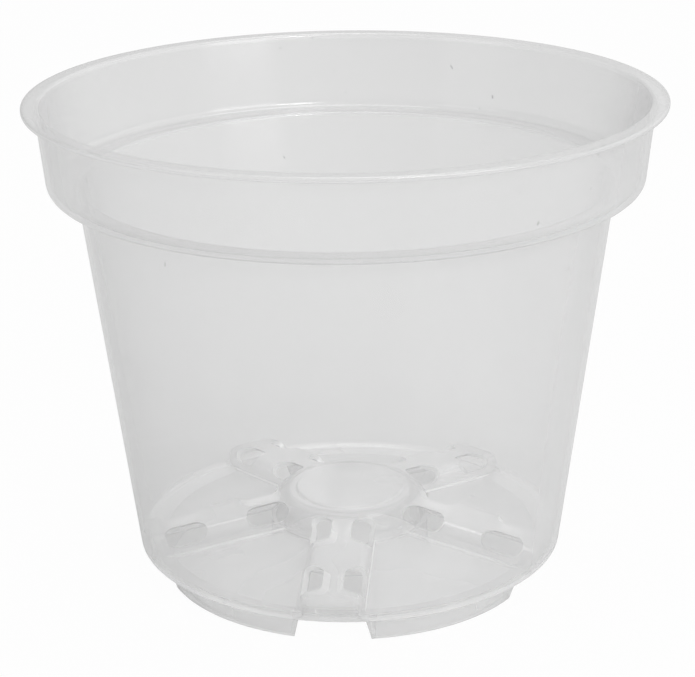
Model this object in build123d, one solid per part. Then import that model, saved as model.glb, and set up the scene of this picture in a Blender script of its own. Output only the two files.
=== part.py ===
from build123d import *
import os
from math import atan2, cos, radians, sin

# Clear orchid pot: lip, tall collar, stepped ledge, tapered wall, and a raised base
# with flat-roofed slotted drain tunnels that lead to notches in the foot.
# Millimetres, +Z up. The origin is the centre of the circle that the foot stands on.
# The first drain tunnel points along -Y.

# Rim and collar
LIP_RADIUS = 75.0
POT_HEIGHT = 118.2
LIP_THICKNESS = 1.3
LIP_OVERHANG = 3.1
LIP_EDGE_ROUND = 0.5
COLLAR_DEPTH = 20.4
COLLAR_FLARE = 1.9
LEDGE_WIDTH = 6.7
LEDGE_TURN = 3.4
LEDGE_OUTER_ROUND = 2.8
LEDGE_INNER_ROUND = 1.7

# Body wall
WALL = 1.1
BODY_TAPER = 11.1

# Base ring, the gutter between wall, floor and foot
HEEL_HEIGHT = 7.5
HEEL_RISE = 1.5
HEEL_INSET = 0.2
HEEL_ROUND = 0.8
GUTTER_WIDTH = 2.5
GUTTER_DEPTH = 0.9
FOOT_STEP = 4.1
FOOT_SEAT_HEIGHT = 6.5
FOOT_SEAT_WIDTH = 1.9

# Sloping floor
FLOOR_RISE = 4.2
FLOOR_THICKNESS = 1.2

# Centre boss
BOSS_RADIUS = 19.6
BOSS_HEIGHT = 6.4
BOSS_SHOULDER_ROUND = 4.5
BOSS_DISC_INSET = 6.6
BOSS_DISC_STEP = 0.5
BOSS_WALL = 1.2
BOSS_SKIRT_LIFT = 3.0

# Drain tunnels
TUNNEL_COUNT = 5
TUNNEL_HALF_WIDTH = 7.5
TUNNEL_RISE = 5.4
TUNNEL_SHOULDER_ROUND = 2.6
TUNNEL_OVERLAP = 4.6
TUNNEL_WALL = 1.2
SLOT_LENGTH = 10.5
SLOT_WIDTH = 5.4
SLOT_RISE = 38.0
INNER_SLOT_INSET = 1.6
OUTER_SLOT_INSET = 4.5

# Foot with drain notches
FOOT_DRAFT = 1.8
FOOT_THICKNESS = 1.6
NOTCH_HALF_TOP = 7.6
NOTCH_FLARE = 1.4
WEB_THICKNESS = 1.2
WEB_OUTER_LIFT = 1.0
WEB_INNER_LIFT = 6.4

# Seats on curved faces keep this small clearance
SEAT = 0.04
# Cutting solids reach this far past what they cut
REACH = 12.0

# Radii, from the lip inward
COLLAR_TOP_RADIUS = LIP_RADIUS - LIP_OVERHANG
COLLAR_BOTTOM_RADIUS = COLLAR_TOP_RADIUS - COLLAR_FLARE
BODY_TOP_RADIUS = COLLAR_BOTTOM_RADIUS - LEDGE_WIDTH
BODY_BOTTOM_RADIUS = BODY_TOP_RADIUS - BODY_TAPER
HEEL_RADIUS = BODY_BOTTOM_RADIUS - HEEL_INSET
GUTTER_RADIUS = BODY_BOTTOM_RADIUS - GUTTER_WIDTH
FOOT_SEAT_RADIUS = HEEL_RADIUS - FOOT_STEP
FOOT_RADIUS = FOOT_SEAT_RADIUS - FOOT_DRAFT
RING_INNER_RADIUS = FOOT_SEAT_RADIUS - FOOT_SEAT_WIDTH
OUTER_SLOT_RADIUS = RING_INNER_RADIUS - OUTER_SLOT_INSET
INNER_SLOT_RADIUS = BOSS_RADIUS + INNER_SLOT_INSET
TUNNEL_START_RADIUS = BOSS_RADIUS - TUNNEL_OVERLAP
BOSS_DISC_RADIUS = BOSS_RADIUS - BOSS_DISC_INSET

# Heights
LIP_UNDERSIDE = POT_HEIGHT - LIP_THICKNESS
LEDGE_UNDERSIDE = POT_HEIGHT - COLLAR_DEPTH
COLLAR_BOTTOM_HEIGHT = LEDGE_UNDERSIDE + LEDGE_TURN
BODY_BOTTOM_HEIGHT = HEEL_HEIGHT + HEEL_RISE
GUTTER_HEIGHT = BODY_BOTTOM_HEIGHT - GUTTER_DEPTH
FLOOR_EDGE_HEIGHT = FOOT_SEAT_HEIGHT + FLOOR_THICKNESS
FLOOR_CENTRE_HEIGHT = FLOOR_EDGE_HEIGHT + FLOOR_RISE
BOSS_SHOULDER_HEIGHT = FLOOR_CENTRE_HEIGHT + BOSS_HEIGHT

PITCH = 360.0 / TUNNEL_COUNT
FLOOR_RUN = RING_INNER_RADIUS - BOSS_RADIUS
SLOPE = atan2(FLOOR_RISE, FLOOR_RUN)
NOTCH_HALF_BOTTOM = NOTCH_HALF_TOP + NOTCH_FLARE


def outline(*points):
    """Closed flat outline through points of radius and height."""
    return make_face(Polyline(*points, close=True))


def rounded(face, point, radius):
    """Round the outline's corner that is nearest to a point."""
    corner = face.vertices().sort_by_distance((*point, 0))[0]
    return fillet(corner, radius)


def turned(face):
    """Turn an outline of radius and height once round the pot's axis."""
    return revolve(Plane.XZ * face, axis=Axis.Z)


def around(solid, step):
    """Copy of a solid moved on by a number of tunnel pitches."""
    return Rot(0, 0, PITCH * step) * solid


def rim_lip():
    """Flat flange turned outward round the mouth."""
    inner = COLLAR_TOP_RADIUS - WALL
    face = outline(
        (inner, LIP_UNDERSIDE),
        (LIP_RADIUS, LIP_UNDERSIDE),
        (LIP_RADIUS, POT_HEIGHT),
        (inner, POT_HEIGHT),
    )
    face = rounded(face, (LIP_RADIUS, LIP_UNDERSIDE), LIP_EDGE_ROUND)
    face = rounded(face, (LIP_RADIUS, POT_HEIGHT), LIP_EDGE_ROUND)
    face = rounded(face, (inner, POT_HEIGHT), LIP_EDGE_ROUND)
    return turned(face)


def collar_band():
    """Tall band that widens a little from the ledge to the lip."""
    face = outline(
        (COLLAR_BOTTOM_RADIUS, COLLAR_BOTTOM_HEIGHT),
        (COLLAR_TOP_RADIUS, LIP_UNDERSIDE),
        (COLLAR_TOP_RADIUS - WALL, LIP_UNDERSIDE),
        (COLLAR_BOTTOM_RADIUS - WALL, COLLAR_BOTTOM_HEIGHT),
    )
    return turned(face)


def collar_ledge():
    """Rounded shoulder under the collar and the flat ledge that runs in to the wall."""
    ledge_top = LEDGE_UNDERSIDE + WALL
    inner = BODY_TOP_RADIUS - WALL
    face = outline(
        (COLLAR_BOTTOM_RADIUS, COLLAR_BOTTOM_HEIGHT),
        (COLLAR_BOTTOM_RADIUS - WALL, COLLAR_BOTTOM_HEIGHT),
        (COLLAR_BOTTOM_RADIUS - WALL, ledge_top),
        (inner, ledge_top),
        (inner, LEDGE_UNDERSIDE),
        (COLLAR_BOTTOM_RADIUS, LEDGE_UNDERSIDE),
    )
    face = rounded(face, (COLLAR_BOTTOM_RADIUS - WALL, ledge_top), LEDGE_INNER_ROUND)
    face = rounded(face, (COLLAR_BOTTOM_RADIUS, LEDGE_UNDERSIDE), LEDGE_OUTER_ROUND)
    face = rounded(face, (inner, ledge_top), LIP_EDGE_ROUND)
    return turned(face)


def body_wall():
    """Long plain wall that narrows towards the base."""
    face = outline(
        (BODY_BOTTOM_RADIUS, BODY_BOTTOM_HEIGHT),
        (BODY_TOP_RADIUS, LEDGE_UNDERSIDE),
        (BODY_TOP_RADIUS - WALL, LEDGE_UNDERSIDE),
        (BODY_BOTTOM_RADIUS - WALL, BODY_BOTTOM_HEIGHT),
    )
    return turned(face)


def base_ring():
    """Gutter that turns the wall in to the seat of the foot and the floor's edge."""
    face = outline(
        (BODY_BOTTOM_RADIUS, BODY_BOTTOM_HEIGHT),
        (HEEL_RADIUS, HEEL_HEIGHT),
        (FOOT_SEAT_RADIUS, FOOT_SEAT_HEIGHT),
        (RING_INNER_RADIUS, FOOT_SEAT_HEIGHT),
        (RING_INNER_RADIUS, FLOOR_EDGE_HEIGHT),
        (GUTTER_RADIUS, GUTTER_HEIGHT),
        (BODY_BOTTOM_RADIUS - WALL, BODY_BOTTOM_HEIGHT),
    )
    face = rounded(face, (HEEL_RADIUS, HEEL_HEIGHT), HEEL_ROUND)
    return turned(face)


def boss_body(grow):
    """Filled form of the boss, grown sideways and upward."""
    radius = BOSS_RADIUS + grow
    shoulder = BOSS_SHOULDER_HEIGHT + grow
    face = outline(
        (0, BOSS_SKIRT_LIFT),
        (radius, BOSS_SKIRT_LIFT),
        (radius, shoulder),
        (0, shoulder),
    )
    face = rounded(face, (radius, shoulder), BOSS_SHOULDER_ROUND + grow)
    return turned(face)


def floor_cone(low, high):
    """Sloping disc between two heights measured from the floor's top face."""
    inner = BOSS_RADIUS + SEAT
    outer = RING_INNER_RADIUS - SEAT
    face = outline(
        (inner, FLOOR_CENTRE_HEIGHT + low),
        (outer, FLOOR_EDGE_HEIGHT + low),
        (outer, FLOOR_EDGE_HEIGHT + high),
        (inner, FLOOR_CENTRE_HEIGHT + high),
    )
    return turned(face)


def radial_slab(half_width):
    """Upright slab from the axis out along the first tunnel."""
    slab = Box(2 * half_width, LIP_RADIUS, LIP_RADIUS, align=(Align.CENTER, Align.MAX, Align.CENTER))
    return slab


def between_tunnels(ring, cutter):
    """Piece of a ring that is left between the first tunnel and the second."""
    rest = ring - cutter - around(cutter, 1)
    return rest.solids().sort_by(SortBy.VOLUME)[0]


def floor_panel():
    """Sloping floor between two tunnels."""
    return between_tunnels(floor_cone(-FLOOR_THICKNESS, 0.0), radial_slab(TUNNEL_HALF_WIDTH))


def tunnel_plane(radius):
    """Cross-section plane of the first tunnel where its axis is at a given radius."""
    along = (0, -cos(SLOPE), -sin(SLOPE))
    drop = (radius - BOSS_RADIUS) * FLOOR_RISE / FLOOR_RUN
    return Plane(origin=(0, -radius, FLOOR_CENTRE_HEIGHT - drop), x_dir=(1, 0, 0), z_dir=along)


def channel(inset, depth):
    """Flat-topped bar with rounded shoulders along the first tunnel, drawn in from its outer faces."""
    half = TUNNEL_HALF_WIDTH - inset
    roof = TUNNEL_RISE - inset
    face = outline((-half, -depth), (half, -depth), (half, roof), (-half, roof))
    for edge in (-half, half):
        face = rounded(face, (edge, roof), TUNNEL_SHOULDER_ROUND - inset)
    return extrude(tunnel_plane(TUNNEL_START_RADIUS) * face, amount=BODY_BOTTOM_RADIUS)


def shoulder_slot(radius, side):
    """Cutter for one slot through a tunnel's shoulder."""
    plane = tunnel_plane(radius)
    rise = radians(SLOT_RISE)
    out = plane.x_dir * (side * cos(rise)) + plane.y_dir * sin(rise)
    face = Plane(origin=plane.origin, x_dir=plane.z_dir, z_dir=out) * SlotOverall(SLOT_LENGTH, SLOT_WIDTH)
    return extrude(face, amount=REACH)


def centre_boss():
    """Hollow boss with a raised disc and a skirt, open below. The inner slots run into its shoulder."""
    disc = Pos(0, 0, BOSS_SHOULDER_HEIGHT) * Cylinder(
        BOSS_DISC_RADIUS, BOSS_DISC_STEP, align=(Align.CENTER, Align.CENTER, Align.MIN)
    )
    boss = boss_body(0.0) + disc - boss_body(-BOSS_WALL)
    for step in range(TUNNEL_COUNT):
        for side in (-1, 1):
            boss -= around(shoulder_slot(INNER_SLOT_RADIUS, side), step)
    return boss


def pot_inside():
    """Space inside the wall and above the base ring."""
    inner_bottom = BODY_BOTTOM_RADIUS - WALL - SEAT
    inner_top = BODY_TOP_RADIUS - WALL - SEAT
    face = outline(
        (0, FLOOR_EDGE_HEIGHT - FLOOR_THICKNESS),
        (RING_INNER_RADIUS - SEAT, FLOOR_EDGE_HEIGHT - FLOOR_THICKNESS),
        (RING_INNER_RADIUS - SEAT, FLOOR_EDGE_HEIGHT + SEAT),
        (GUTTER_RADIUS, GUTTER_HEIGHT + SEAT),
        (inner_bottom, BODY_BOTTOM_HEIGHT + SEAT),
        (inner_top, LEDGE_UNDERSIDE),
        (0, LEDGE_UNDERSIDE),
    )
    return turned(face)


def drain_tunnel():
    """Tunnel from the boss to the wall, open below, with slots in both shoulders."""
    shell = channel(0.0, FLOOR_THICKNESS) - channel(TUNNEL_WALL, REACH)
    for radius in (INNER_SLOT_RADIUS, OUTER_SLOT_RADIUS):
        for side in (-1, 1):
            shell -= shoulder_slot(radius, side)
    shell = shell & pot_inside()
    shell -= boss_body(SEAT)
    return shell


def notch_section(grow):
    """Cross-section of a drain notch and the gap between its two webs."""
    top = FLOOR_CENTRE_HEIGHT + REACH
    return outline(
        (-NOTCH_HALF_BOTTOM - grow, 0),
        (NOTCH_HALF_BOTTOM + grow, 0),
        (NOTCH_HALF_TOP + grow, FOOT_SEAT_HEIGHT),
        (NOTCH_HALF_TOP + grow, top),
        (-NOTCH_HALF_TOP - grow, top),
        (-NOTCH_HALF_TOP - grow, FOOT_SEAT_HEIGHT),
    )


def notch(grow):
    """Notch cutter out along the first tunnel."""
    return extrude(Plane.XZ * notch_section(grow), amount=LIP_RADIUS)


def foot_space():
    """Space inside the foot's outer face and under the base ring and the floor."""
    face = outline(
        (0, 0),
        (FOOT_RADIUS, 0),
        (FOOT_SEAT_RADIUS, FOOT_SEAT_HEIGHT),
        (RING_INNER_RADIUS - SEAT, FOOT_SEAT_HEIGHT),
        (BOSS_RADIUS, FLOOR_CENTRE_HEIGHT - FLOOR_THICKNESS - SEAT),
        (0, FLOOR_CENTRE_HEIGHT - FLOOR_THICKNESS - SEAT),
    )
    return turned(face)


def web_side():
    """Side view of a web: its lower edge rises towards the middle of the pot."""
    face = outline(
        (-TUNNEL_START_RADIUS, WEB_INNER_LIFT),
        (-FOOT_RADIUS, WEB_OUTER_LIFT),
        (-LIP_RADIUS, WEB_OUTER_LIFT),
        (-LIP_RADIUS, POT_HEIGHT),
        (-TUNNEL_START_RADIUS, POT_HEIGHT),
    )
    return extrude(Plane.YZ * face, amount=LIP_RADIUS, both=True)


def web_pair():
    """Two webs beside the first notch, from the boss's skirt to the foot wall."""
    pair = notch(WEB_THICKNESS) - notch(0.0)
    pair = pair & web_side()
    pair = pair & foot_space()
    return pair - boss_body(SEAT)


def foot_segment():
    """Curved foot wall between two notches, with a web inward at either end."""
    wall = turned(
        outline(
            (FOOT_RADIUS, 0),
            (FOOT_SEAT_RADIUS, FOOT_SEAT_HEIGHT),
            (FOOT_SEAT_RADIUS - FOOT_THICKNESS, FOOT_SEAT_HEIGHT),
            (FOOT_RADIUS - FOOT_THICKNESS, 0),
        )
    )
    segment = between_tunnels(wall, notch(0.0))
    webs = web_pair().solids().sort_by(Axis.X)
    return segment + webs[1] + around(webs[0], 1)


def main():
    """Build every region and write its file."""
    os.makedirs("parts", exist_ok=True)
    nodes = {
        "rim_lip": rim_lip(),
        "collar_band": collar_band(),
        "collar_ledge": collar_ledge(),
        "body_wall": body_wall(),
        "base_ring": base_ring(),
        "centre_boss": centre_boss(),
    }
    panel = floor_panel()
    tunnel = drain_tunnel()
    segment = foot_segment()
    for step in range(TUNNEL_COUNT):
        nodes[f"floor_panel_{step + 1}"] = around(panel, step)
        nodes[f"drain_tunnel_{step + 1}"] = around(tunnel, step)
        nodes[f"foot_segment_{step + 1}"] = around(segment, step)
    for name, solid in nodes.items():
        export_step(solid, f"parts/{name}.step")


main()
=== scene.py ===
"""Looks of a clear orchid pot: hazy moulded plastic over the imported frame, in a plain white studio."""
import logging
from dataclasses import dataclass
from enum import Enum
from typing import Sequence

import bmesh
import bpy
import numpy as np
from bpy.types import Material, Node, NodeSocket, Object, World
from mathutils import Matrix


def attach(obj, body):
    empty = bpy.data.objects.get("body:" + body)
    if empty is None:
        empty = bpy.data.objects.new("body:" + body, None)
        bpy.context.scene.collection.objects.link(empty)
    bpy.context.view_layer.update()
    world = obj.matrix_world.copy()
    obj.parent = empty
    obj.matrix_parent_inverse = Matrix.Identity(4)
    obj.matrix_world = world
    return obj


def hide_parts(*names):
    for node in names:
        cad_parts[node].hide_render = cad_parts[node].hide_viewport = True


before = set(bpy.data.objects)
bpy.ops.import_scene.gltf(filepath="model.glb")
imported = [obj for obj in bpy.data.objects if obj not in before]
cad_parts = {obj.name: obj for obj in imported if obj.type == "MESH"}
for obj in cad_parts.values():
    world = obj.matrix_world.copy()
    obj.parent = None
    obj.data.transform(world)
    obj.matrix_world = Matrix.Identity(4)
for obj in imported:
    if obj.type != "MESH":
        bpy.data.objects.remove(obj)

LOG = logging.getLogger("orchid_pot")
MM = 0.001  # a millimetre in metres
SEAM_REACH = 0.15  # how near a circle its faces lie, in millimetres
UPRIGHT = 0.3  # the most that an upright face looks up or down
LEVEL = 0.9  # the least that a level face looks up or down
MARGIN = 0.1  # how far under a level its faces may lie, in millimetres


class Side(Enum):
    """The two flanks of a drain tunnel, or the two ends of a foot wall."""

    LEFT = -1
    RIGHT = 1


@dataclass(frozen=True)
class Corner:
    """One corner of a turned outline, in millimetres.

    radius and height place it, turn is the radius that rounds it off, and line says how much painted shade it shows
    as a dark line.
    """

    radius: float
    height: float
    turn: float = 0.0
    line: float = 0.0


class Outline:
    """A rounded outline of radius and height that is turned round the pot's axis."""

    def __init__(
        self, corners: Sequence[Corner], closed: bool, pitch: float, arc_steps: int = 5, fade: float = 0.0,
    ) -> None:
        """Lay out the outline's points.

        Args:
            corners: the corners in order.
            closed: whether the last corner runs on to the first.
            pitch: the largest distance between points on straight runs.
            arc_steps: how many steps round each corner off.
            fade: how far from a corner its line dies out, or nought for no extra points.
        """
        self.closed = closed
        self.pitch = pitch
        self.arc_steps = arc_steps
        self.fade = fade
        place = np.array([(c.radius, c.height) for c in corners], dtype=float)
        turns = np.array([c.turn for c in corners], dtype=float)
        runs = [self._corner(place, turns, i) for i in range(len(corners))]
        self.points, self.edge = self._joined(runs, np.array([c.line for c in corners], dtype=float))

    def _corner(self, place: np.ndarray, turns: np.ndarray, i: int) -> np.ndarray:
        """Points that round off one corner.

        The arc's centre lies on the corner's bisector, at the turn radius over the sine of half the angle, and the
        arc is swept between the two tangent points.

        Args:
            place: all corners.
            turns: all turn radii.
            i: the corner's number.

        Returns:
            The arc's points, or the corner itself where it is an end or sharp.
        """
        count = len(place)
        if turns[i] <= 0.0 or (not self.closed and i in (0, count - 1)):
            return place[i:i + 1]
        before = place[i - 1] - place[i]
        after = place[(i + 1) % count] - place[i]
        before /= np.linalg.norm(before)
        after /= np.linalg.norm(after)
        half = 0.5 * np.arccos(np.clip(before @ after, -1.0, 1.0))
        reach = turns[i] / np.tan(half)
        middle = before + after
        middle /= np.linalg.norm(middle)
        centre = place[i] + middle * turns[i] / np.sin(half)
        start = place[i] + before * reach - centre
        end = place[i] + after * reach - centre
        first = np.arctan2(start[1], start[0])
        sweep = np.arctan2(end[1], end[0]) - first
        sweep = (sweep + np.pi) % (2 * np.pi) - np.pi
        angle = first + sweep * np.linspace(0.0, 1.0, self.arc_steps + 1)
        return centre + turns[i] * np.stack([np.cos(angle), np.sin(angle)], axis=1)

    def _joined(self, runs: list[np.ndarray], lines: np.ndarray) -> tuple[np.ndarray, np.ndarray]:
        """Join the corners with straight runs cut to the pitch, and close to their ends where lines die out.

        Args:
            runs: the points of each corner.
            lines: how much each corner shows as a line.

        Returns:
            All points, and how much each one shows as a line, which is nought on straight runs.
        """
        points, edge = [], []
        count = len(runs)
        for i, run in enumerate(runs):
            points.append(run)
            edge.append(np.full(len(run), lines[i]))
            if i == count - 1 and not self.closed:
                continue
            start, end = run[-1], runs[(i + 1) % count][0]
            length = np.linalg.norm(end - start)
            steps = max(int(np.ceil(length / self.pitch)), 1)
            share = np.linspace(0.0, 1.0, steps + 1)[1:-1]
            if self.fade > 0.0 and length > 3.0 * self.fade:
                near = self.fade / length
                inside = share[(share > 1.5 * near) & (share < 1.0 - 1.5 * near)]
                share = np.concatenate([[near], inside, [1.0 - near]])
            points.append(start + share[:, None] * (end - start))
            edge.append(np.zeros(len(share)))
        return np.concatenate(points), np.concatenate(edge)


@dataclass(frozen=True)
class Spots:
    """Where the faces of a piece lie.

    radius and height place each face's middle, in millimetres. angle is its turn round the pot from the front, and up
    says how far the face looks up.
    """

    radius: np.ndarray
    height: np.ndarray
    angle: np.ndarray
    up: np.ndarray

    def ring_at(self, radius: float) -> np.ndarray:
        """Which faces stand upright on a circle of this radius."""
        return (np.abs(self.radius - radius) < SEAM_REACH) & (np.abs(self.up) < UPRIGHT)


class Pieces:
    """Puts worked-out arrays into meshes and hands them to the frame."""

    @staticmethod
    def grid_faces(rows: int, columns: int, wrap_rows: bool) -> np.ndarray:
        """Four-cornered faces of a grid whose points are numbered row by row, and whose last column joins the first.

        Args:
            rows: the number of rows.
            columns: the number of columns.
            wrap_rows: whether the last row joins the first.

        Returns:
            An array of faces, four point numbers each.
        """
        row = np.arange(rows if wrap_rows else rows - 1)[:, None]
        column = np.arange(columns)[None, :]
        below, right = (row + 1) % rows, (column + 1) % columns
        faces = [row * columns + column, row * columns + right, below * columns + right, below * columns + column]
        return np.stack(faces, axis=-1).reshape(-1, 4)

    @staticmethod
    def turned(line: np.ndarray, columns: int) -> tuple[np.ndarray, np.ndarray]:
        """Turn a closed outline round the axis: radius r and angle t give the point (r sin t, -r cos t, height).

        Args:
            line: points of radius and height.
            columns: how many columns go round.

        Returns:
            Points and four-cornered faces.
        """
        angle = np.linspace(0.0, 2 * np.pi, columns, endpoint=False)[None, :]
        r, z = line[:, :1], line[:, 1:]
        points = np.stack([r * np.sin(angle), -r * np.cos(angle), z + 0.0 * angle], axis=-1)
        return points.reshape(-1, 3), Pieces.grid_faces(len(line), columns, True)

    @staticmethod
    def piece(
        name: str, points: np.ndarray, faces: Sequence[Sequence[int]], edge: np.ndarray | None = None,
    ) -> Object:
        """Make an object at the origin from points in millimetres.

        Args:
            name: the piece's name.
            points: its points, three numbers each.
            faces: its faces.
            edge: how much of a line each point shows, where the piece has lines.

        Returns:
            The new object, linked to the scene.
        """
        mesh = bpy.data.meshes.new(name)
        mesh.from_pydata((points * MM).tolist(), [], [list(f) for f in faces])
        mesh.validate()
        if edge is not None:
            mesh.attributes.new("edge", "FLOAT", "POINT").data.foreach_set("value", edge)
        obj = bpy.data.objects.new(name, mesh)
        bpy.context.scene.collection.objects.link(obj)
        return obj

    @staticmethod
    def merge(obj: Object, reach: float, outward: bool) -> None:
        """Join points that lie together and drop faces with no area.

        Args:
            obj: the piece.
            reach: how near points are joined, in millimetres.
            outward: whether faces are also turned to point out of a closed solid.
        """
        work = bmesh.new()
        work.from_mesh(obj.data)
        bmesh.ops.remove_doubles(work, verts=work.verts, dist=reach * MM)
        bmesh.ops.dissolve_degenerate(work, edges=work.edges, dist=reach * MM)
        loose = [v for v in work.verts if not v.link_faces]
        bmesh.ops.delete(work, geom=loose, context="VERTS")
        if outward:
            bmesh.ops.recalc_face_normals(work, faces=work.faces)
        work.to_mesh(obj.data)
        work.free()

    @staticmethod
    def settle(obj: Object) -> None:
        """Apply the piece's modifiers to its own mesh.

        Args:
            obj: the piece.
        """
        seen = obj.evaluated_get(bpy.context.evaluated_depsgraph_get())
        mesh = bpy.data.meshes.new_from_object(seen)
        old = obj.data
        obj.modifiers.clear()
        obj.data = mesh
        bpy.data.meshes.remove(old)
        mesh.name = obj.name

    @staticmethod
    def smooth(obj: Object, degrees: float) -> None:
        """Shade smooth, but keep sharp edges.

        Args:
            obj: the piece.
            degrees: the angle from which an edge is sharp.
        """
        mesh = obj.data
        mesh.polygons.foreach_set("use_smooth", np.ones(len(mesh.polygons), dtype=bool))
        mesh.set_sharp_from_angle(angle=np.radians(degrees))

    @staticmethod
    def faces_at(obj: Object) -> Spots:
        """Find where the faces of a piece lie.

        Args:
            obj: the piece.

        Returns:
            The faces' places.
        """
        polygons = obj.data.polygons
        middle = np.empty((len(polygons), 3))
        normal = np.empty((len(polygons), 3))
        polygons.foreach_get("center", middle.reshape(-1))
        polygons.foreach_get("normal", normal.reshape(-1))
        x, y, z = middle.T
        return Spots(np.hypot(x, y) / MM, z / MM, np.arctan2(x, -y), normal[:, 2])

    @staticmethod
    def dress(obj: Object, material: Material, chosen: np.ndarray) -> None:
        """Give some faces of a piece a finish of their own.

        Args:
            obj: the piece.
            material: the finish.
            chosen: for each face, whether it gets the finish.
        """
        mesh = obj.data
        mesh.materials.append(material)
        slot = np.empty(len(mesh.polygons), dtype=np.int32)
        mesh.polygons.foreach_get("material_index", slot)
        slot[chosen] = len(mesh.materials) - 1
        mesh.polygons.foreach_set("material_index", slot)

    @staticmethod
    def hand_over(obj: Object, nodes: Sequence[str]) -> None:
        """Let a piece ride the pot and stand for CAD nodes.

        Args:
            obj: the piece.
            nodes: the CAD nodes that it stands for.
        """
        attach(obj, "root")
        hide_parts(*nodes)
        LOG.info("%s: %d faces, stands for %s", obj.name, len(obj.data.polygons), ", ".join(nodes))


@dataclass(frozen=True)
class Marks:
    """A noise: lumps to the metre, finer layers, and how tightly it is packed along the height."""

    scale: float
    detail: float
    upright: float = 1.0


class Nodes:
    """Small helper that lays out the nodes and links of a material or a world."""

    def __init__(self, block: Material | World) -> None:
        """Start from an empty tree.

        Args:
            block: the material or world.
        """
        block.use_nodes = True
        self.tree = block.node_tree
        self.tree.nodes.clear()

    def add(self, kind: str, **values: object) -> Node:
        """Add a node and set its own properties.

        Args:
            kind: the node's type name.
            **values: properties to set.

        Returns:
            The new node.
        """
        node = self.tree.nodes.new(kind)
        for key, value in values.items():
            setattr(node, key, value)
        return node

    def feed(self, node: Node, values: dict[str | int, object]) -> None:
        """Link sockets to a node's inputs, or set them to plain values.

        Args:
            node: the node.
            values: a socket or value for each input, by its name or number.
        """
        for key, value in values.items():
            if isinstance(value, NodeSocket):
                self.tree.links.new(value, node.inputs[key])
            else:
                node.inputs[key].default_value = value

    def math(
        self, operation: str, first: object, second: object = None, third: object = None,
    ) -> NodeSocket:
        """Add a sum on sockets or plain numbers.

        Args:
            operation: the Math node's operation.
            first: the first number or socket.
            second: the second number or socket.
            third: the third number or socket.

        Returns:
            The result's socket.
        """
        node = self.add("ShaderNodeMath", operation=operation)
        self.feed(node, {i: v for i, v in enumerate((first, second, third)) if v is not None})
        return node.outputs[0]

    def mix(self, share: object, first: Node, second: Node) -> Node:
        """Mix two shaders.

        Args:
            share: the second one's share, as a number or socket.
            first: the first shader.
            second: the second shader.

        Returns:
            The mixed shader.
        """
        node = self.add("ShaderNodeMixShader")
        self.feed(node, {0: share, 1: first.outputs[0], 2: second.outputs[0]})
        return node

    def noise(self, place: NodeSocket, marks: Marks) -> NodeSocket:
        """Noise between 0 and 1.

        Args:
            place: where it is read.
            marks: its measures.

        Returns:
            The noise value's socket.
        """
        stretch = self.add("ShaderNodeMapping")
        self.feed(stretch, {"Vector": place, "Scale": (1.0, 1.0, marks.upright)})
        node = self.add("ShaderNodeTexNoise")
        self.feed(node, {"Vector": stretch.outputs[0], "Scale": marks.scale, "Detail": marks.detail})
        return node.outputs["Fac"]


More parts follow.
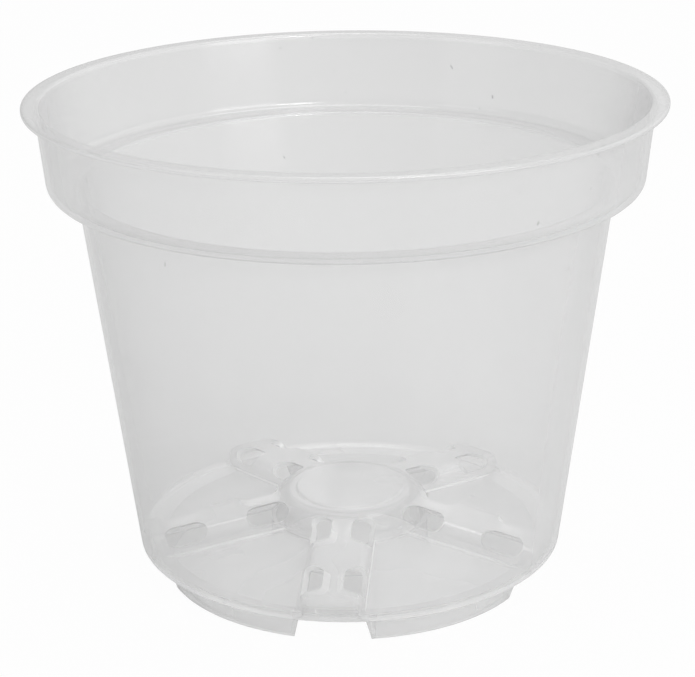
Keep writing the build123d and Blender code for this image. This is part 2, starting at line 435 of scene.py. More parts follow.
@dataclass(frozen=True)
class ClearPlastic:
    """Thin clear plastic with a faint haze that thickens where the wall is seen edge on.

    haze is the share of light that one face holds back when seen straight on. streak and cloud say how much upright
    flow marks and broad patches change it, edge how much lines at corners add, and scuff how much small dark marks
    add. pale and deep are the greys of the haze. The lines at corners take a darker grey, which is painted shade on
    the rounded edges, and scuff_dark says how much the small marks darken it. gloss is the strength of the clear
    coat, with its share straight on and its most. hold_least and hold_most bound the haze, and straight_least the
    cosine that it is seen at. The noises come with the levels above which rubs and patches make a small mark, and
    with the weights of flow and grain in the relief.
    """

    name: str
    pale: float = 0.84
    deep: float = 0.72
    haze: float = 0.13
    streak: float = 0.03
    cloud: float = 0.04
    scuff: float = 0.20
    edge: float = 0.16
    edge_gain: float = 2.0
    # painted shade: the dark grey that the lines at rounded corners take
    painted_edge_shade: float = 0.30
    scuff_dark: float = 0.6
    rough: float = 0.10
    rough_spread: float = 0.10
    bump: float = 0.02
    bump_depth: float = 0.0004
    gloss: float = 1.8
    gloss_straight: float = 0.04
    gloss_most: float = 0.3
    ior: float = 1.49
    hold_least: float = 0.02
    hold_most: float = 0.95
    straight_least: float = 0.2
    flow: Marks = Marks(48.0, 1.5, 0.05)
    patch: Marks = Marks(26.0, 1.5, 0.3)
    grain: Marks = Marks(420.0, 2.0)
    rub: Marks = Marks(700.0, 1.0, 0.6)
    rub_above: float = 0.80
    patch_above: float = 0.58
    flow_relief: float = 2.0
    grain_relief: float = 0.4

    def hold(
        self, n: Nodes, streak: NodeSocket, cloud: NodeSocket, scuff: NodeSocket,
        edge: NodeSocket,
    ) -> NodeSocket:
        """Share of light that a face holds back at the angle it is seen from.

        Straight on it is the haze with its marks. At a slant the light's way through the skin grows as one over the
        cosine, so what passes is raised to that power.

        Args:
            n: the node helper.
            streak: flow marks between 0 and 1.
            cloud: broad patches between 0 and 1.
            scuff: small marks between 0 and 1.
            edge: how much of a line there is, between 0 and 1.

        Returns:
            The share's socket.
        """
        hold = n.math("MULTIPLY_ADD", n.math("SUBTRACT", streak, 0.5), self.streak * 2, self.haze)
        hold = n.math("MULTIPLY_ADD", n.math("SUBTRACT", cloud, 0.5), self.cloud * 2, hold)
        hold = n.math("MULTIPLY_ADD", edge, self.edge, hold)
        hold = n.math("MULTIPLY_ADD", scuff, self.scuff, hold)
        hold = n.math("MINIMUM", n.math("MAXIMUM", hold, self.hold_least), self.hold_most)
        straight = n.math("MAXIMUM", n.math("SUBTRACT", 1.0, self.slant(n)), self.straight_least)
        through = n.math("POWER", n.math("SUBTRACT", 1.0, hold), n.math("DIVIDE", 1.0, straight))
        return n.math("SUBTRACT", 1.0, through)

    def slant(self, n: Nodes) -> NodeSocket:
        """How slanted the face is seen: one less the cosine of the angle.

        Args:
            n: the node helper.

        Returns:
            The slant's socket, nought straight on and one edge on.
        """
        facing = n.add("ShaderNodeLayerWeight")
        n.feed(facing, {"Blend": 0.5})
        return facing.outputs["Facing"]

    def coat(self, n: Nodes) -> NodeSocket:
        """Share of light that the clear coat mirrors.

        It rises from its share straight on to one by the fifth power of the slant, is scaled by the gloss, and stops
        at its most.

        Args:
            n: the node helper.

        Returns:
            The share's socket, nought on the back of a face.
        """
        rise = n.math("POWER", self.slant(n), 5.0)
        mirror = n.math("MULTIPLY_ADD", rise, 1.0 - self.gloss_straight, self.gloss_straight)
        mirror = n.math("MINIMUM", n.math("MULTIPLY", mirror, self.gloss), self.gloss_most)
        back = n.add("ShaderNodeNewGeometry").outputs["Backfacing"]
        return n.math("MULTIPLY", mirror, n.math("SUBTRACT", 1.0, back))

    def colour(
        self, n: Nodes, mark: NodeSocket, edge: NodeSocket, scuff: NodeSocket,
    ) -> NodeSocket:
        """Grey of the haze, with the painted shade of the corner lines and the small marks on it.

        Args:
            n: the node helper.
            mark: flow marks and patches between 0 and 1.
            edge: how much of a line there is, between 0 and 1.
            scuff: small marks between 0 and 1.

        Returns:
            The colour's socket.
        """
        grey = n.math("MULTIPLY_ADD", mark, self.pale - self.deep, self.deep)
        # painted shade: the corner lines pull the grey towards the dark grey
        share = n.math("MINIMUM", n.math("MULTIPLY", edge, self.edge_gain), 1.0)
        grey = n.math("MULTIPLY_ADD", n.math("SUBTRACT", self.painted_edge_shade, grey), share, grey)
        grey = n.math("MULTIPLY", grey, n.math("SUBTRACT", 1.0, n.math("MULTIPLY", scuff, self.scuff_dark)))
        join = n.add("ShaderNodeCombineColor")
        n.feed(join, {channel: grey for channel in range(3)})
        return join.outputs[0]

    def make(self) -> Material:
        """Build the finish.

        Returns:
            The material.
        """
        material = bpy.data.materials.new(self.name)
        n = Nodes(material)
        place = n.add("ShaderNodeTexCoord").outputs["Object"]
        streak, cloud = n.noise(place, self.flow), n.noise(place, self.patch)
        rubbed = n.math("GREATER_THAN", n.noise(place, self.rub), self.rub_above)
        scuff = n.math("MULTIPLY", rubbed, n.math("GREATER_THAN", cloud, self.patch_above))
        edge = n.add("ShaderNodeAttribute", attribute_name="edge").outputs["Fac"]
        mark = n.math("MULTIPLY", n.math("ADD", streak, cloud), 0.5)
        rough = n.math("MULTIPLY_ADD", cloud, self.rough_spread, self.rough)
        fine = n.math("MULTIPLY", n.noise(place, self.grain), self.grain_relief)
        relief = n.add("ShaderNodeBump")
        n.feed(relief, {
            "Strength": self.bump,
            "Distance": self.bump_depth,
            "Height": n.math("MULTIPLY_ADD", streak, self.flow_relief, fine),
        })
        skin, mirror = n.add("ShaderNodeBsdfPrincipled"), n.add("ShaderNodeBsdfAnisotropic")
        for shader in (skin, mirror):
            n.feed(shader, {"Roughness": rough, "Normal": relief.outputs["Normal"]})
        n.feed(skin, {
            "Base Color": self.colour(n, mark, edge, scuff),
            "Alpha": self.hold(n, streak, cloud, scuff, edge),
            "IOR": self.ior,
        })
        mixed = n.mix(self.coat(n), skin, mirror)
        n.feed(n.add("ShaderNodeOutputMaterial"), {"Surface": mixed.outputs[0]})
        return material


@dataclass
class PotShell:
    """Lip, collar, ledge, wall and base ring as one turned skin with a hollow inside, in millimetres."""

    lip_radius: float = 75.0
    height: float = 118.2
    lip_thickness: float = 1.3
    lip_inner: float = 70.8
    collar_top: float = 71.9
    collar_bottom: float = 70.0
    ledge_under: float = 97.8
    wall: float = 1.1
    body_top: float = 63.3
    body_bottom: float = 52.2
    body_base: float = 9.0
    heel_radius: float = 52.0
    heel_height: float = 7.5
    gutter_radius: float = 49.7
    gutter_height: float = 8.1
    seat_radius: float = 47.9
    seat_height: float = 6.5
    ring_inner: float = 46.0
    floor_edge: float = 7.7
    columns: int = 288
    join: float = 0.001
    sharp: float = 50.0
    nodes: tuple[str, ...] = ("rim_lip", "collar_band", "collar_ledge", "body_wall", "base_ring")

    def outline(self) -> Outline:
        """Closed outline of the skin, up the outside, over the lip and down the inside.

        Returns:
            The outline.
        """
        under = self.height - self.lip_thickness
        top = self.ledge_under + self.wall
        # the last number of a corner is how much painted shade its line shows
        corners = [
            Corner(self.ring_inner, self.seat_height),
            Corner(self.seat_radius, self.seat_height, 0.15, 0.1),
            Corner(self.heel_radius, self.heel_height, 0.8),
            Corner(self.body_bottom, self.body_base),
            Corner(self.body_top, self.ledge_under, 0.9, 0.03),
            Corner(self.collar_bottom, self.ledge_under, 2.8, 0.02),
            Corner(self.collar_top, under, 0.8, 0.06),
            Corner(self.lip_radius, under, 0.5, 0.15),
            Corner(self.lip_radius, self.height, 0.6, 0.08),
            Corner(self.lip_inner, self.height, 0.8, 0.03),
            Corner(self.collar_bottom - self.wall, top, 1.7, 0.12),
            Corner(self.body_top - self.wall, top, 0.7, 0.12),
            Corner(self.body_bottom - self.wall, self.body_base, 0.8),
            Corner(self.gutter_radius, self.gutter_height, 0.8),
            Corner(self.ring_inner, self.floor_edge),
        ]
        return Outline(corners, closed=True, pitch=4.0, fade=0.6)

    def build(
        self, wall: Material, lip: Material, base: Material, seam: Material,
    ) -> Object:
        """Turn the outline round the axis.

        Args:
            wall: the plastic of collar and wall.
            lip: the plastic of the lip, painted paler to lift the shade on its underside.
            base: the plastic of the base ring, painted paler to lift the shade low in the pot.
            seam: the plastic where floor and foot join on.

        Returns:
            The skin.
        """
        line = self.outline()
        points, faces = Pieces.turned(line.points, self.columns)
        obj = Pieces.piece("pot_shell", points, faces, np.repeat(line.edge, self.columns))
        obj.data.materials.append(wall)
        Pieces.merge(obj, self.join, outward=True)
        at = Pieces.faces_at(obj)
        # painted light: the lip takes a paler grey that lifts the shade on its underside
        Pieces.dress(obj, lip, at.height > self.height - self.lip_thickness - MARGIN)
        # painted light: the base ring takes the paler grey that lifts the shade low in the pot
        Pieces.dress(obj, base, at.height < self.body_base)
        seat = (at.up < -LEVEL) & (at.radius < self.seat_radius)
        Pieces.dress(obj, seam, at.ring_at(self.ring_inner) | seat)
        Pieces.smooth(obj, self.sharp)
        Pieces.hand_over(obj, self.nodes)
        return obj


@dataclass
class DrainBase:
    """Sloping floor, centre boss with its skirt, and flat-roofed drain tunnels as one skin with slots.

    Sizes are in millimetres. The floor meets the shell's base ring, and the tunnels end on the shell's wall.
    """

    shell: PotShell
    count: int = 5
    boss_radius: float = 19.6
    boss_top: float = 18.3
    boss_turn: float = 4.5
    skirt_low: float = 3.0
    disc_radius: float = 13.0
    disc_step: float = 0.5
    floor_centre: float = 11.9
    gutter: tuple[tuple[float, float], ...] = ((46.0, 7.7), (49.7, 8.2), (51.1, 9.1), (51.4, 11.0))
    wall_reach: float = 51.2
    wall_lean: float = 0.125
    wall_gap: float = 0.06
    ring_gap: float = 0.05
    thickness: float = 1.2
    tunnel_half: float = 7.5
    tunnel_rise: float = 5.4
    tunnel_turn: float = 2.6
    tunnel_start: float = 15.0
    slot_length: float = 10.5
    slot_width: float = 5.4
    slot_rise: float = 38.0
    slot_radii: tuple[float, ...] = (21.2, 41.5)
    slot_from: float = 2.5
    slot_to: float = 12.0
    fillet: float = 0.9
    fillet_reach: float = 1.2
    # how far up the faces of the painted highlight look
    fold_highlight_up: tuple[float, float] = (0.3, 0.75)
    panel_columns: int = 26
    past_rows: int = 6
    skirt_columns: int = 180
    skirt_gap: float = 0.1
    skin_join: float = 0.002
    join: float = 0.0005
    sharp: float = 40.0

    @property
    def fall(self) -> float:
        """How far the floor falls for each millimetre outward."""
        return (self.floor_centre - self.shell.floor_edge) / (self.shell.ring_inner - self.boss_radius)

    @property
    def pitch(self) -> float:
        """Angle from one tunnel to the next."""
        return 2 * np.pi / self.count

    @property
    def reach(self) -> float:
        """How far a tunnel's foot reaches out from its axis, with its fillet."""
        return self.tunnel_half + self.fillet_reach * self.fillet

    def floor_line(self, radius: np.ndarray | float) -> np.ndarray | float:
        """Height of the floor's top face: a straight fall from the boss outward."""
        return self.floor_centre - self.fall * (radius - self.boss_radius)

    def rows(self) -> Outline:
        """Radius and height of each row, from the boss's middle out to the base ring.

        Returns:
            The open outline.
        """
        top = self.boss_top + self.disc_step
        end = self.shell.ring_inner - self.ring_gap
        # the last number of a corner is how much painted shade its line shows
        corners = [
            Corner(0.0, top),
            Corner(self.disc_radius, top, 0.35, 0.03),
            Corner(self.disc_radius + 0.4, self.boss_top, 0.35, 0.03),
            Corner(self.boss_radius, self.boss_top, self.boss_turn, 0.2),
            Corner(self.boss_radius, self.floor_centre, 0.8, 0.12),
            Corner(end, self.floor_line(end)),
        ]
        return Outline(corners, closed=False, pitch=1.6, arc_steps=7, fade=0.4)

    def section(self) -> tuple[np.ndarray, np.ndarray]:
        """Section across a tunnel: rounded shoulders above, and fillets down to the floor.

        Returns:
            Offset across the tunnel, and lift over the floor, of each point.
        """
        half, rise, reach = self.tunnel_half, self.tunnel_rise, self.reach
        corners = [
            Corner(-reach, 0.0),
            Corner(-half, 0.0, self.fillet),
            Corner(-half, rise, self.tunnel_turn),
            Corner(half, rise, self.tunnel_turn),
            Corner(half, 0.0, self.fillet),
            Corner(reach, 0.0),
        ]
        points = Outline(corners, closed=False, pitch=1.2, arc_steps=6).points
        return points[:, 0], points[:, 1]

    def columns(self, radius: np.ndarray) -> np.ndarray:
        """Angle of each column at each row.

        Across a tunnel the angle round the pot is the arc sine of the section's offset over the radius. Between
        tunnels the columns share the panel evenly.

        Args:
            radius: the radius of each row.

        Returns:
            Angles, row by column.
        """
        reach = np.maximum(radius, self.tunnel_start)[:, None]
        across = np.arcsin(self.section()[0][None, :] / reach)
        first = np.arcsin(self.reach / reach)
        share = np.linspace(0.0, 1.0, self.panel_columns + 2)[None, 1:-1]
        between = first + share * (self.pitch - 2 * first)
        sector = np.concatenate([across, between], axis=1)
        turns = self.pitch * np.arange(self.count)
        return (turns[None, :, None] + sector[:, None, :]).reshape(len(radius), -1)

    def top_face(self) -> tuple[np.ndarray, np.ndarray, np.ndarray]:
        """Points and faces of the upper skin.

        A point's height is the larger of the turned profile and the tunnel, which is the floor's height plus the
        section's lift. Past the floor's edge only the tunnels run on, resting on the gutter, and each of their points
        ends where its height meets the leaning wall.

        Returns:
            Points, four-cornered faces, and how much of an edge each point is.
        """
        profile = self.rows()
        inner = profile.points
        ring_inner = self.shell.ring_inner
        past = np.linspace(0.0, 1.0, self.past_rows)[:, None]
        angle = self.columns(np.concatenate([inner[:, 0], np.full(len(past), ring_inner)]))
        sector = angle.shape[1] // self.count
        across, lift = self.section()
        lift = np.tile(np.concatenate([lift, np.full(sector - len(lift), -1.0)]), self.count)[None, :]
        above = np.maximum(self.floor_line(self.wall_reach) + lift - self.shell.body_base, 0.0)
        end = self.shell.body_bottom - self.shell.wall + self.wall_lean * above - self.wall_gap
        reach = ring_inner + past * (end - ring_inner)
        radius = np.concatenate([inner[:, :1] + 0.0 * lift, reach])
        off = np.tile(np.concatenate([across, np.zeros(sector - len(across))]), self.count)[None, :]
        turn = np.repeat(self.pitch * np.arange(self.count), sector)[None, :]
        angle[len(inner):] = np.where(lift >= 0.0, turn + np.arcsin(off / reach), angle[len(inner):])
        rest = np.interp(reach, *np.transpose(self.gutter))
        base = np.concatenate([inner[:, 1:] + 0.0 * lift, np.maximum(self.floor_line(reach) + lift, rest)])
        tunnel = np.where(radius < self.tunnel_start, -1.0, self.floor_line(radius) + lift)
        height = np.where(lift > 1e-9, np.maximum(base, tunnel), base)
        points = np.stack([radius * np.sin(angle), -radius * np.cos(angle), height], axis=-1)
        rows, columns = angle.shape
        faces = Pieces.grid_faces(rows, columns, False)
        row, column = faces[:, 0] // columns, faces[:, 0] % columns
        keep = (row < len(inner) - 1) | (column % sector < len(across) - 1)
        ring = np.concatenate([profile.edge, np.zeros(len(past))])[:, None]
        edge = np.where((lift > 1e-9) & (tunnel > base), 0.0, ring + 0.0 * radius)
        return points.reshape(-1, 3), faces[keep], edge.reshape(-1)

    def stadium(self, length: float, width: float, steps: int = 12) -> np.ndarray:
        """Outline of a round-ended slot: two half circles joined by straight sides.

        Args:
            length: overall length.
            width: overall width.
            steps: steps round each end.

        Returns:
            Points along and across the slot.
        """
        angle = np.linspace(-np.pi / 2, np.pi / 2, steps + 1)
        half = width / 2
        shift = length / 2 - half
        end = np.stack([shift + half * np.cos(angle), half * np.sin(angle)], axis=1)
        return np.concatenate([end, -end])

    def slot_cutters(self) -> Object:
        """Prisms that cut the slots: each stands on a tunnel's axis and leans up by the slot rise to one side.

        Returns:
            One object that holds all the prisms.
        """
        slope = np.arctan(self.fall)
        along = np.array([0.0, -np.cos(slope), -np.sin(slope)])
        up = np.array([0.0, -np.sin(slope), np.cos(slope)])
        rise = np.radians(self.slot_rise)
        slot = self.stadium(self.slot_length, self.slot_width)
        ring = len(slot)
        points, faces = [], []
        for step in range(self.count):
            turn = np.array(Matrix.Rotation(self.pitch * step, 3, "Z"))
            for radius in self.slot_radii:
                for side in Side:
                    out = np.array([side.value * np.cos(rise), 0.0, 0.0]) + up * np.sin(rise)
                    start = np.array([0.0, -radius, self.floor_line(radius)])
                    flat = start + slot[:, :1] * along + slot[:, 1:] * np.cross(out, along)
                    prism = np.concatenate([flat + out * self.slot_from, flat + out * self.slot_to])
                    number = 2 * ring * len(points)
                    faces += (Pieces.grid_faces(2, ring, False) + number).tolist()
                    faces += [list(range(number + ring - 1, number - 1, -1))]
                    faces += [list(range(number + ring, number + 2 * ring))]
                    points.append(prism @ turn.T)
        cutter = Pieces.piece("slot_cutters", np.concatenate(points), faces)
        Pieces.merge(cutter, self.join, outward=True)
        return cutter

    def skirt(self) -> Object:
        """Ring that carries the boss's wall down below the floor.

        Returns:
            The ring.
        """
        inner, outer = self.boss_radius - self.thickness + self.skirt_gap, self.boss_radius - self.skirt_gap
        low, high = self.skirt_low, self.floor_centre - 0.5 * self.thickness
        corners = [Corner(inner, low, 0.2), Corner(outer, low, 0.2), Corner(outer, high), Corner(inner, high)]
        line = Outline(corners, closed=True, pitch=2.0, arc_steps=3).points
        obj = Pieces.piece("skirt", *Pieces.turned(line, self.skirt_columns))
        Pieces.merge(obj, self.join, outward=True)
        return obj

    def fold_highlights(self, obj: Object) -> np.ndarray:
        """Which faces lie in the middle of the fillet along a tunnel's foot, where a pale line is painted as a
        highlight.

        A face's offset from its tunnel's side is its radius times the sine of its angle from the tunnel's axis, less
        the half width, and its lift is its height over the floor. Both lie within the fillet there, and the face
        looks up at about 60 degrees from upright.

        Args:
            obj: the base.

        Returns:
            For each face, whether it is one of them.
        """
        at = Pieces.faces_at(obj)
        away = at.angle - self.pitch * np.round(at.angle / self.pitch)
        offset = np.abs(at.radius * np.sin(away)) - self.tunnel_half
        lift = at.height - self.floor_line(at.radius)
        inside = (np.minimum(offset, lift) > 0.0) & (np.maximum(offset, lift) < self.fillet)
        least, most = self.fold_highlight_up
        return inside & (at.up > least) & (at.up < most) & (at.radius > self.boss_radius)

    def build(
        self, material: Material, slot_rim_highlight: Material, seam: Material,
        fold_highlight: Material,
    ) -> Object:
        """Give the upper skin its thickness, add the skirt and cut the slots.

        Args:
            material: the plastic, painted paler to lift the shade under the pot.
            slot_rim_highlight: the plastic of the slots' cut faces, made pale and dense as a painted highlight round
                each slot.
            seam: the plastic where the floor joins the base ring.
            fold_highlight: the plastic of the tunnels' folds, painted pale and dense as a highlight.

        Returns:
            The base.
        """
        points, faces, edge = self.top_face()
        obj = Pieces.piece("drain_base", points, faces[:, ::-1], edge)
        Pieces.merge(obj, self.skin_join, outward=False)
        obj.data.materials.append(material)
        skin = obj.modifiers.new("thickness", "SOLIDIFY")
        skin.thickness = self.thickness * MM
        skin.offset = -1.0
        Pieces.settle(obj)
        for name, other, how, finish in (
            ("skirt", self.skirt(), "UNION", material),
            # the slots' cut faces take the painted highlight: a pale, dense rim round each slot
            ("slots", self.slot_cutters(), "DIFFERENCE", slot_rim_highlight),
        ):
            other.data.materials.append(finish)
            cut = obj.modifiers.new(name, "BOOLEAN")
            cut.operation = how
            cut.solver = "EXACT"
            cut.material_mode = "TRANSFER"
            cut.object = other
            Pieces.settle(obj)
            bpy.data.objects.remove(other)
        Pieces.dress(obj, seam, Pieces.faces_at(obj).ring_at(self.shell.ring_inner))
        # painted highlight: a pale, dense line along the middle of each tunnel's foot fillet
        Pieces.dress(obj, fold_highlight, self.fold_highlights(obj))
        Pieces.smooth(obj, self.sharp)
        names = ["centre_boss"]
        names += [f"{kind}_{k + 1}" for kind in ("floor_panel", "drain_tunnel") for k in range(self.count)]
        Pieces.hand_over(obj, names)
        return obj


@dataclass
class Foot:
    """Curved foot walls between the drain notches, each with a web inward at either end.

    Sizes are in millimetres. The walls stand under the shell's base ring, and the webs under the base's floor.
    """

    shell: PotShell
    base: DrainBase
    radius: float = 46.1
    thickness: float = 1.6
    notch_bottom: float = 9.0
    notch_top: float = 7.6
    web_thickness: float = 1.2
    web_inner: float = 15.0
    web_outer: float = 46.6
    web_low: float = 1.0
    web_high: float = 6.4
    web_rows: int = 20
    web_columns: int = 9
    floor_gap: float = 0.03
    seat_gap: float = 0.05
    seat_reach: float = 1.0
    wall_gap: float = 0.25
    boss_gap: float = 0.02
    fold_highlight_down: float = 0.7
    fold_highlight_short: float = 2.0
    steps: int = 48
    join: float = 0.0005
    sharp: float = 35.0

    def notch_half(self, height: np.ndarray) -> np.ndarray:
        """Half width of a notch at a height: it narrows evenly to the seat, then stays."""
        share = np.clip(height / self.shell.seat_height, 0.0, 1.0)
        return self.notch_bottom + (self.notch_top - self.notch_bottom) * share

    def wall(self) -> tuple[np.ndarray, list[list[int]], np.ndarray]:
        """Curved wall between the first notch and the second.

        Each corner of its section runs round at its own radius, from the arc sine of notch half width over radius to
        the same angle short of the next notch.

        Returns:
            Points, faces, and how much of an edge each point is.
        """
        seat = self.shell.seat_radius
        # the last number of a corner is how much painted shade its line shows
        corners = [
            Corner(self.radius, 0.0, 0.3, 0.1),
            Corner(seat, self.shell.seat_height),
            Corner(seat - self.thickness, self.shell.seat_height),
            Corner(self.radius - self.thickness, 0.0, 0.3, 0.1),
        ]
        line = Outline(corners, closed=True, pitch=1.5, arc_steps=3, fade=0.4)
        r, z = line.points[:, 0][None, :], line.points[:, 1][None, :]
        first = np.arcsin(self.notch_half(z) / r)
        share = np.linspace(0.0, 1.0, self.steps + 1)[:, None]
        angle = first + share * (self.base.pitch - 2 * first)
        points = np.stack([r * np.sin(angle), -r * np.cos(angle), z + 0.0 * angle], axis=-1)
        rows, columns = angle.shape
        edge = np.tile(line.edge, rows)
        return points.reshape(-1, 3), self.capped(rows, columns), edge

    def capped(self, rows: int, columns: int) -> list[list[int]]:
        """Faces of a bar whose section goes round in columns, with a face over either end.

        Args:
            rows: the number of sections.
            columns: the number of points in a section.

        Returns:
            The faces.
        """
        faces = Pieces.grid_faces(rows, columns, False).tolist()
        faces.append(list(range(columns - 1, -1, -1)))
        faces.append(list(range((rows - 1) * columns, rows * columns)))
        return faces

    def web(self, side: Side) -> tuple[np.ndarray, list[list[int]]]:
        """Thin web beside the first notch, from the boss's skirt to the foot wall.

        Its height runs from the lower edge, which rises towards the middle, to the floor's underside, and its two
        faces follow the notch's side.

        Args:
            side: which side of the notch.

        Returns:
            Points and faces.
        """
        base, seat_height, half = self.base, self.shell.seat_height, self.web_columns
        out = np.linspace(self.web_inner, self.web_outer, self.web_rows)[:, None]
        lower = np.interp(out, [self.web_inner, self.radius], [self.web_high, self.web_low])
        reach = np.hypot(out, self.notch_top + self.web_thickness)
        upper = base.floor_line(np.maximum(reach, base.boss_radius)) - base.thickness - self.floor_gap
        seated = np.minimum(upper, seat_height - self.seat_gap)
        upper = np.where(reach > self.radius - self.seat_reach, seated, upper)
        share = np.concatenate([np.linspace(0.0, 1.0, half), np.linspace(1.0, 0.0, half)])[None, :]
        far = np.concatenate([np.zeros(half), np.ones(half)])[None, :]
        z = lower + share * (upper - lower)
        off = side.value * (self.notch_half(z) + far * self.web_thickness)
        limit = self.radius + (self.shell.seat_radius - self.radius) * z / seat_height - self.wall_gap
        along = np.minimum(out, np.sqrt(np.maximum(limit ** 2 - off ** 2, 1.0)))
        along = np.maximum(along, np.sqrt((base.boss_radius + self.boss_gap) ** 2 - off ** 2))
        points = np.stack([off, -along, z], axis=-1)
        return points.reshape(-1, 3), self.capped(*z.shape)

    def build(
        self, material: Material, seam: Material, fold_highlight: Material,
    ) -> list[Object]:
        """Build every foot segment.

        Args:
            material: the plastic, painted paler to lift the shade under the pot.
            seam: the plastic where a segment joins the base ring.
            fold_highlight: the plastic of the webs' lower edges, painted pale and dense as a highlight.

        Returns:
            The segments in order.
        """
        pitch, ring_inner = self.base.pitch, self.shell.ring_inner
        wall, wall_faces, wall_edge = self.wall()
        near, near_faces = self.web(Side.RIGHT)
        far, far_faces = self.web(Side.LEFT)
        far = far @ np.array(Matrix.Rotation(pitch, 3, "Z")).T
        points = np.concatenate([wall, near, far])
        edge = np.concatenate([wall_edge, np.zeros(len(near) + len(far))])
        faces = list(wall_faces)
        faces += [[i + len(wall) for i in f] for f in near_faces]
        faces += [[i + len(wall) + len(near) for i in f] for f in far_faces]
        segments = []
        for step in range(self.base.count):
            turn = np.array(Matrix.Rotation(pitch * step, 3, "Z"))
            obj = Pieces.piece(f"foot_wall_{step + 1}", points @ turn.T, faces, edge)
            obj.data.materials.append(material)
            Pieces.merge(obj, self.join, outward=True)
            at = Pieces.faces_at(obj)
            seat = (at.up > LEVEL) & (at.height > self.shell.seat_height - MARGIN) & (at.radius > ring_inner)
            Pieces.dress(obj, seam, seat)
            # painted highlight: a pale, dense line along the webs' lower edges
            Pieces.dress(obj, fold_highlight, (at.up < -self.fold_highlight_down) & (at.radius < ring_inner - self.fold_highlight_short))
            Pieces.smooth(obj, self.sharp)
            Pieces.hand_over(obj, [f"foot_segment_{step + 1}"])
            segments.append(obj)
        return segments


@dataclass(frozen=True)
class Lamp:
    """A soft lamp: its place and its width and height in metres, and its power in watts."""

    name: str
    place: tuple[float, float, float]
    size: tuple[float, float]
    watts: float


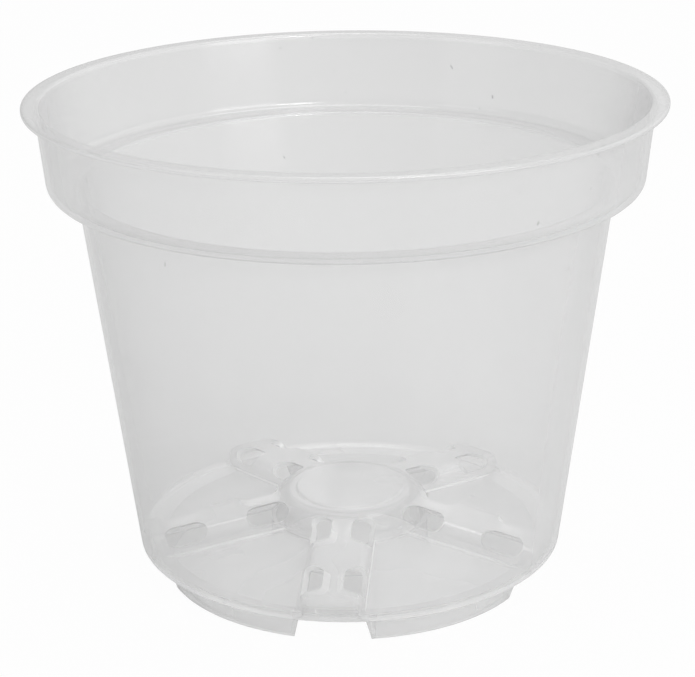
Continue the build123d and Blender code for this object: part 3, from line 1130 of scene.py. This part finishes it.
@dataclass
class Studio:
    """Pale floor, white surroundings, soft lamps and the camera.

    The camera's place is in millimetres. Its turn round the pot is in degrees, and yaw, pitch and roll in radians.
    """

    floor_size: float = 6.0
    floor_grey: float = 0.765
    floor_even: float = 0.35
    floor_white: float = 0.95
    ambient: float = 0.715
    mirrored: float = 0.66
    mirrored_tilt: float = 0.42
    lamps: tuple[Lamp, ...] = (
        Lamp("spot_right", (0.61, -1.2, 0.93), (0.4, 0.3), 4.2),
        Lamp("side_right", (1.0, -0.85, 0.55), (0.7, 1.0), 3.5),
        Lamp("side_left", (-1.0, -0.85, 0.55), (0.7, 1.0), 1.2),
        Lamp("top_back", (0.1, 0.2, 1.45), (0.8, 0.8), 4.0),
    )
    lamp_aim: float = 0.06
    camera_turn: float = 5.4
    camera_back: float = 469.9
    camera_height: float = 225.66
    yaw: float = -0.0002
    pitch: float = 0.34371
    roll: float = -0.0118
    focal_px: float = 2055.18
    picture_width: float = 695.0
    clear_layers: int = 48

    def seen_bare(self, n: Nodes) -> NodeSocket:
        """Tell rays that come straight from the camera from those that come through the plastic.

        Args:
            n: the node helper.

        Returns:
            A socket that is one for bare rays and nought for the others.
        """
        path = n.add("ShaderNodeLightPath")
        bare = n.math("LESS_THAN", path.outputs["Transparent Depth"], 0.5)
        return n.math("MULTIPLY", path.outputs["Is Camera Ray"], bare)

    def world(self) -> None:
        """Surroundings that light the pot evenly and show white to the camera.

        In mirrors they go from dark on the left to pale on the right, evenly with the direction's sideways part.
        """
        world = bpy.data.worlds.new("white_room")
        bpy.context.scene.world = world
        n = Nodes(world)
        path = n.add("ShaderNodeLightPath")
        strength = n.math("MULTIPLY_ADD", path.outputs["Is Camera Ray"], 1.0 - self.ambient, self.ambient)
        ahead = n.add("ShaderNodeSeparateXYZ")
        n.feed(ahead, {0: n.add("ShaderNodeTexCoord").outputs["Generated"]})
        room = n.math("MULTIPLY_ADD", ahead.outputs["X"], self.mirrored_tilt, self.mirrored)
        room = n.math("SUBTRACT", room, self.ambient)
        strength = n.math("MULTIPLY_ADD", path.outputs["Is Glossy Ray"], room, strength)
        light = n.add("ShaderNodeBackground")
        n.feed(light, {"Color": (1.0, 1.0, 1.0, 1.0), "Strength": strength})
        n.feed(n.add("ShaderNodeOutputWorld"), {"Surface": light.outputs[0]})

    def floor(self) -> Object:
        """Plain pale floor that keeps a soft shadow.

        It shows white where nothing stands before it. Through the plastic it shows its own grey, part of it without
        shadow.

        Returns:
            The floor.
        """
        material = bpy.data.materials.new("white_floor")
        n = Nodes(material)
        matt, even, glow = (n.add(f"ShaderNode{kind}") for kind in ("BsdfDiffuse", "Emission", "Emission"))
        for shader in (matt, even):
            n.feed(shader, {"Color": (*(self.floor_grey,) * 3, 1.0)})
        camera = n.add("ShaderNodeLightPath").outputs["Is Camera Ray"]
        seen = n.mix(n.math("MULTIPLY", camera, self.floor_even), matt, even)
        mixed = n.mix(n.math("MULTIPLY", self.seen_bare(n), self.floor_white), seen, glow)
        n.feed(n.add("ShaderNodeOutputMaterial"), {"Surface": mixed.outputs[0]})
        half = self.floor_size / 2 / MM
        corners = np.array([(-half, -half, 0.0), (half, -half, 0.0), (half, half, 0.0), (-half, half, 0.0)])
        obj = Pieces.piece("floor", corners, [[0, 1, 2, 3]])
        obj.data.materials.append(material)
        return obj

    def hang(self, lamp: Lamp) -> Object:
        """Hang a lamp so that it looks at the pot's middle.

        Args:
            lamp: the lamp's measures.

        Returns:
            The lamp.
        """
        data = bpy.data.lights.new(lamp.name, "AREA")
        data.shape = "RECTANGLE"
        data.size, data.size_y = lamp.size
        data.energy = lamp.watts
        obj = bpy.data.objects.new(lamp.name, data)
        eye = np.array(lamp.place)
        out = eye - np.array([0.0, 0.0, self.lamp_aim])
        out /= np.linalg.norm(out)
        right = np.cross([0.0, 0.0, 1.0], out)
        right /= np.linalg.norm(right)
        axes = np.eye(4)
        axes[:3, :3] = np.stack([right, np.cross(out, right), out], axis=1)
        axes[:3, 3] = eye
        obj.matrix_world = Matrix(axes.tolist())
        bpy.context.scene.collection.objects.link(obj)
        return obj

    def camera(self) -> Object:
        """Camera fitted to the circles of lip, ledge and foot in the photograph.

        Returns:
            The camera.
        """
        data = bpy.data.cameras.new("camera")
        data.sensor_fit = "HORIZONTAL"
        data.sensor_width = 36.0
        data.lens = self.focal_px / self.picture_width * data.sensor_width
        data.clip_start = 0.01
        data.clip_end = 20.0
        ahead = np.array([
            np.sin(self.yaw) * np.cos(self.pitch), np.cos(self.yaw) * np.cos(self.pitch), -np.sin(self.pitch)])
        right = np.cross(ahead, [0.0, 0.0, 1.0])
        right /= np.linalg.norm(right)
        up = np.cross(right, ahead)
        tilt = np.cos(self.roll), np.sin(self.roll)
        right, up = tilt[0] * right + tilt[1] * up, -tilt[1] * right + tilt[0] * up
        axes = np.eye(4)
        axes[:3, :3] = np.stack([right, up, -ahead], axis=1)
        axes[:3, 3] = (0.0, -self.camera_back * MM, self.camera_height * MM)
        obj = bpy.data.objects.new("camera", data)
        turn = Matrix.Rotation(np.radians(self.camera_turn), 4, "Z")
        obj.matrix_world = turn @ Matrix(axes.tolist())
        bpy.context.scene.collection.objects.link(obj)
        bpy.context.scene.camera = obj
        return obj

    def build(self) -> None:
        """Set up floor, surroundings, lamps, camera and plain colours."""
        scene = bpy.context.scene
        scene.view_settings.view_transform = "Standard"
        scene.cycles.transparent_max_bounces = self.clear_layers
        self.world()
        self.floor()
        for lamp in self.lamps:
            self.hang(lamp)
        self.camera()


def main() -> None:
    """Build the pot and its studio in order."""
    logging.basicConfig(level=logging.INFO, format="%(name)s: %(message)s")
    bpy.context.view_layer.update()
    wall = ClearPlastic("clear_wall").make()
    # painted light: paler greys that lift the shade under the lip
    lip = ClearPlastic("clear_lip_painted_light", haze=0.10, pale=0.92, deep=0.82).make()
    # painted light: paler greys for base and foot that lift the shade under the pot
    base = ClearPlastic("clear_base_painted_light", haze=0.18, pale=1.0, deep=0.92).make()
    foot = ClearPlastic("clear_foot_painted_light", haze=0.15, pale=1.0, deep=0.92).make()
    # painted highlight: pale and dense, for bright rims round the slots
    slot_rim_highlight = ClearPlastic("clear_slot_rim_highlight", haze=0.55, pale=1.0, deep=0.92).make()
    # painted highlight: white and dense, for bright lines on the fillets and web edges
    fold_highlight = ClearPlastic("clear_fold_highlight", haze=0.6, pale=1.0, deep=1.0).make()
    seam = ClearPlastic("clear_seam", haze=0.02, streak=0.0, cloud=0.0, scuff=0.0, edge=0.0, gloss=0.0).make()
    pot_shell = PotShell()
    drain_base = DrainBase(pot_shell)
    pot_shell.build(wall, lip, base, seam)
    drain_base.build(base, slot_rim_highlight, seam, fold_highlight)
    Foot(pot_shell, drain_base).build(foot, seam, fold_highlight)
    Studio().build()


if __name__ == "__main__":
    main()
